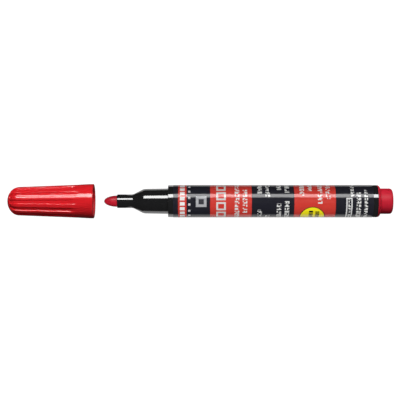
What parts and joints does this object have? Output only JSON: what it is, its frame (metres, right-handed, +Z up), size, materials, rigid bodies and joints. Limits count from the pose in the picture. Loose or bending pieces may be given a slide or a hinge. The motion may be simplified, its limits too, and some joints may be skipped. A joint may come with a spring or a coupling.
{
  "type": "marker pen",
  "caption": "Felt-tip marker pen with a bullet nib, a straight printed barrel, an end plug and a fluted pull-off cap that slides on along the pen's axis.",
  "frame": {"origin": "on the pen's axis, halfway along the printed sleeve of the barrel", "axes": "+X along the pen from the nib to the end plug, +Z up with the pen lying down"},
  "size_m": [0.171, 0.0152, 0.0153],
  "materials": {
    "cap_red": "polished moulded polypropylene",
    "seal_natural": "natural soft polyethylene",
    "nib_fibre": "bonded fibre stained with ink",
    "nose_black": "polished moulded polypropylene",
    "barrel_black": "polished extruded polypropylene",
    "label_film": "satin printed film",
    "reservoir_fibre": "bundled fibre soaked with ink",
    "wrap_film": "clear film",
    "plug_red": "satin moulded polypropylene"
  },
  "bodies": {
    "pen": {"nib": "nib_fibre", "nib_holder": "nose_black", "barrel": "barrel_black", "label": "label_film", "ink_reservoir": "reservoir_fibre", "reservoir_wrap": "wrap_film", "end_plug": "plug_red"},
    "cap": {"cap": "cap_red", "inner_cap": "seal_natural"}
  },
  "joints": [
    {"name": "cap_slide", "type": "slide", "parent": "pen", "child": "cap", "axis": [1, 0, 0], "range_m": [0, 0.03295]}
  ]
}
